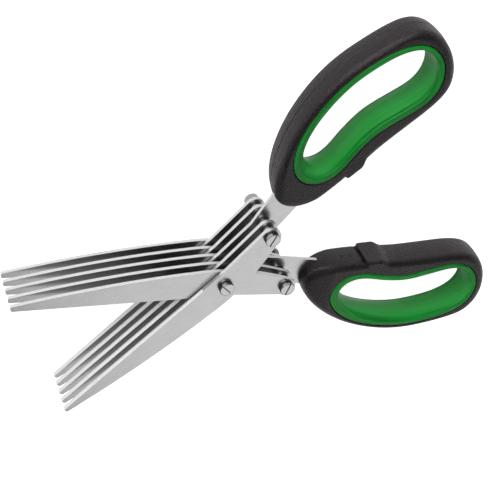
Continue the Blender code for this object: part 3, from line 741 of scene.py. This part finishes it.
def green_elastomer():
    """Green thermoplastic elastomer, moulded smooth: satin and translucent, with drawn-out flow streaks.

    Its inner wall carries a band of painted light between its rims.
    """
    material, tree, shader = new_material(
        "green_elastomer", IOR=1.45, Specular_IOR_Level=0.22, Subsurface_Weight=0.8,
        Subsurface_Radius=(0.2, 1.0, 0.3), Subsurface_Scale=8 * MM)
    lay = add_node(tree, "ShaderNodeAttribute", attribute_name="lay")
    # Flow streaks are about 1.2 mm wide and 24 mm long
    along = add_node(tree, "ShaderNodeMapping", [(lay.outputs["Vector"], "Vector")],
                     Scale=(FLOW_STREAK_SQUEEZE, FLOW_STREAK_SQUEEZE, 1))
    streaks = add_node(tree, "ShaderNodeTexNoise", [(along.outputs["Vector"], "Vector")],
                       Scale=texture_scale(FLOW_STREAK_MM), Detail=3.0)
    contrast = add_node(tree, "ShaderNodeMapRange", [(streaks.outputs["Fac"], "Value")],
                        From_Min=0.3, From_Max=0.7)
    tone = mixed_colour(tree, contrast.outputs["Result"], "#005a14", "#0c9432")
    # The inner wall is painted paler between its two rims: painted light, standing in for the white table's
    # light that brightens the wall there
    place = add_node(tree, "ShaderNodeSeparateXYZ", [(lay.outputs["Vector"], "Vector")])
    start, whole, fade, end = PAINTED_LIGHT_BAND
    band_start = add_node(tree, "ShaderNodeMapRange", [(place.outputs["Z"], "Value")],
                          interpolation_type="SMOOTHSTEP", From_Min=start, From_Max=whole,
                          To_Max=PAINTED_LIGHT_BAND_SHARE)
    band_end = add_node(tree, "ShaderNodeMapRange", [(place.outputs["Z"], "Value")],
                        interpolation_type="SMOOTHSTEP", From_Min=fade, From_Max=end, To_Min=1.0, To_Max=0.0)
    share = add_node(tree, "ShaderNodeMath", [(band_start.outputs["Result"], 0),
                                              (band_end.outputs["Result"], 1)], operation="MULTIPLY")
    tone_with_painted_light = mixed_colour(tree, share.outputs["Value"], tone, "#38a44c")
    roughness = add_node(tree, "ShaderNodeMapRange", [(streaks.outputs["Fac"], "Value")],
                         To_Min=0.24, To_Max=0.42)
    bump = add_node(tree, "ShaderNodeBump", [(streaks.outputs["Fac"], "Height")],
                    Strength=0.4, Distance=0.08 * MM)
    dress(tree, shader, tone_with_painted_light, roughness.outputs["Result"], bump)
    return material


# Stage

ROOM_LEVEL = 0.11
WALL_TOP_SINES = (0.25, 0.5)
CEILING_LEVEL = 0.5
CEILING_SINES = (0.86, 0.95)
TABLE_LIFT = 0.85
TABLE_MIRROR_LIFT = 0.5
TABLE_HALF_WIDTH = 3.0
SOFT_LIGHTS = {
    # name: its place, what it is aimed at, its two widths and its power in watts
    "side_softbox": ((-0.1, 1.25, 0.62), (0.02, 0, 0), (1.4, 0.8), 15),
    "far_softbox": ((0.18, -0.92, 0.92), (0, 0, 0), (0.9, 0.7), 2.8),
}
CAMERA_PLACE = (-0.02236, 0.34131, 0.35186)
CAMERA_TURN_DEGREES = (-41.895, -18.65, -13.491)
CAMERA_LENS_MM = 91.527
CAMERA_SENSOR_MM = 36
CAMERA_NEAREST = 10 * MM


def white_table():
    """A matt white table. Added light brings it to white for the camera, and reflections see part of it."""
    material, tree, shader = new_material("white_table", Base_Color=linear("#f4f4f4"), Roughness=0.9)
    shader.inputs["Specular IOR Level"].default_value = 0.0
    path = add_node(tree, "ShaderNodeLightPath")
    seen = add_node(tree, "ShaderNodeMath", [(path.outputs["Is Camera Ray"], 0)], operation="MULTIPLY")
    seen.inputs[1].default_value = TABLE_LIFT
    mirrored = add_node(tree, "ShaderNodeMath", [(path.outputs["Is Glossy Ray"], 0)], operation="MULTIPLY")
    mirrored.inputs[1].default_value = TABLE_MIRROR_LIFT
    lift = add_node(tree, "ShaderNodeMath", [(seen.outputs["Value"], 0), (mirrored.outputs["Value"], 1)],
                    operation="ADD")
    shader.inputs["Emission Color"].default_value = (1, 1, 1, 1)
    tree.links.new(lift.outputs["Value"], shader.inputs["Emission Strength"])
    half = TABLE_HALF_WIDTH
    corners = [(-half, -half, 0), (half, -half, 0), (half, half, 0), (-half, half, 0)]
    mesh = bpy.data.meshes.new("table")
    mesh.from_pydata(corners, [], [(0, 1, 2, 3)])
    mesh.materials.append(material)
    table = bpy.data.objects.new("table", mesh)
    bpy.context.scene.collection.objects.link(table)


def studio_world():
    """A dim room, white near the horizon and with a pale patch overhead. The camera sees plain white."""
    world = bpy.data.worlds.new("studio")
    bpy.context.scene.world = world
    world.use_nodes = True
    tree = world.node_tree
    background = tree.nodes["Background"]
    place = add_node(tree, "ShaderNodeTexCoord")
    ray = add_node(tree, "ShaderNodeSeparateXYZ", [(place.outputs["Generated"], "Vector")])
    wall = add_node(tree, "ShaderNodeMapRange", [(ray.outputs["Z"], "Value")],
                    interpolation_type="SMOOTHSTEP", From_Min=WALL_TOP_SINES[0], From_Max=WALL_TOP_SINES[1],
                    To_Min=1.0, To_Max=ROOM_LEVEL)
    ceiling = add_node(tree, "ShaderNodeMapRange", [(ray.outputs["Z"], "Value")],
                       interpolation_type="SMOOTHSTEP", From_Min=CEILING_SINES[0], From_Max=CEILING_SINES[1],
                       To_Min=0.0, To_Max=CEILING_LEVEL)
    room = add_node(tree, "ShaderNodeMath", [(wall.outputs["Result"], 0), (ceiling.outputs["Result"], 1)],
                    operation="MAXIMUM")
    path = add_node(tree, "ShaderNodeLightPath")
    level = add_node(tree, "ShaderNodeMath", [(room.outputs["Value"], 0), (path.outputs["Is Camera Ray"], 1)],
                     operation="MAXIMUM")
    tree.links.new(level.outputs["Value"], background.inputs["Strength"])
    background.inputs["Color"].default_value = (1, 1, 1, 1)


def soft_light(name, place, aim, size, power):
    """A rectangular area light that faces what it is aimed at."""
    lamp = bpy.data.lights.new(name, "AREA")
    lamp.shape = "RECTANGLE"
    lamp.size, lamp.size_y = size
    lamp.energy = power
    thing = bpy.data.objects.new(name, lamp)
    bpy.context.scene.collection.objects.link(thing)
    thing.location = place
    thing.rotation_euler = (Vector(aim) - Vector(place)).to_track_quat("-Z", "Y").to_euler()


def photograph_camera():
    """The photograph's view, found by matching the blades, screws and handles to the picture."""
    camera = bpy.data.cameras.new("camera")
    camera.sensor_width = CAMERA_SENSOR_MM
    camera.lens = CAMERA_LENS_MM
    camera.clip_start = CAMERA_NEAREST
    thing = bpy.data.objects.new("camera", camera)
    bpy.context.scene.collection.objects.link(thing)
    thing.location = CAMERA_PLACE
    thing.rotation_euler = [math.radians(angle) for angle in CAMERA_TURN_DEGREES]
    bpy.context.scene.camera = thing


# The scissors

bright = turned_stainless()
nylon = grained_nylon()
elastomer = green_elastomer()
steels = {"front": ground_stainless("ground_stainless_front", HALF_TURN),
          "back": ground_stainless("ground_stainless_back", -HALF_TURN)}

for half in ("front", "back"):
    body = f"{half}_half"
    for number in BLADE_NUMBERS:
        blade(half, number, steels[half])
    for number in BLADE_NUMBERS[:-1]:
        ring(f"{half}_spacer_{number}", body, BOLT_BORE, SPACER_RADIUS, bright)
    slotted_screw(f"{half}_cross_bolt", bright)
    cap_nut(f"{half}_bolt_nut", body, BOLT_BORE, bright)
    handle_shell(half, nylon)
    handle_liner(half, elastomer)

slotted_screw("pivot_screw", bright)
cap_nut("pivot_nut", "front_half", PIVOT_BORE, bright)
for number in BLADE_NUMBERS[:-1]:
    ring(f"pivot_washer_{number}", "front_half", PIVOT_BORE, WASHER_RADIUS, bright)

white_table()
studio_world()
for name, settings in SOFT_LIGHTS.items():
    soft_light(name, *settings)
photograph_camera()

bpy.context.scene.view_settings.view_transform = "Standard"
